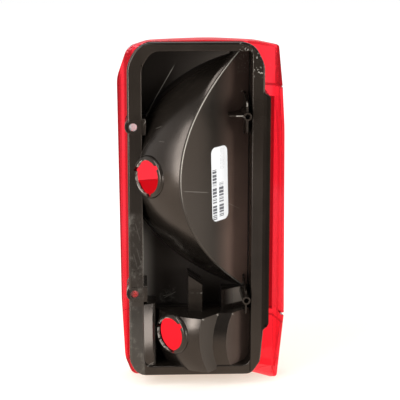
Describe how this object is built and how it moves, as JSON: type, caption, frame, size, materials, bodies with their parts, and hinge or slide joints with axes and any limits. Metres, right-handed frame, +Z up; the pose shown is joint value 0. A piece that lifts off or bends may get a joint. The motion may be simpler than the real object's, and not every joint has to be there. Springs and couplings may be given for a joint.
{
  "type": "tail light cluster",
  "caption": "Upright vehicle tail lamp: black moulded housing with reflector bowls, open bulb holes and locating posts at the back, and a bowed red lens with a wrap-round wing",
  "frame": {"origin": "midway between the two fixing screw holes, on the flat pads that seat on the vehicle body", "axes": "+Z up, +Y the way the light shines, +X outboard"},
  "size_m": [0.1624, 0.106, 0.3353],
  "materials": {
    "black_plastic": "moulded, semi-gloss, scuffed",
    "red_lens": "clear red, glossy",
    "red_reflex": "clear red, finely grooved",
    "label_paper": null
  },
  "bodies": {
    "root": {"housing": "black_plastic", "red_lens": "red_lens", "reflex_panel": "red_reflex", "label": "label_paper"}
  },
  "joints": []
}
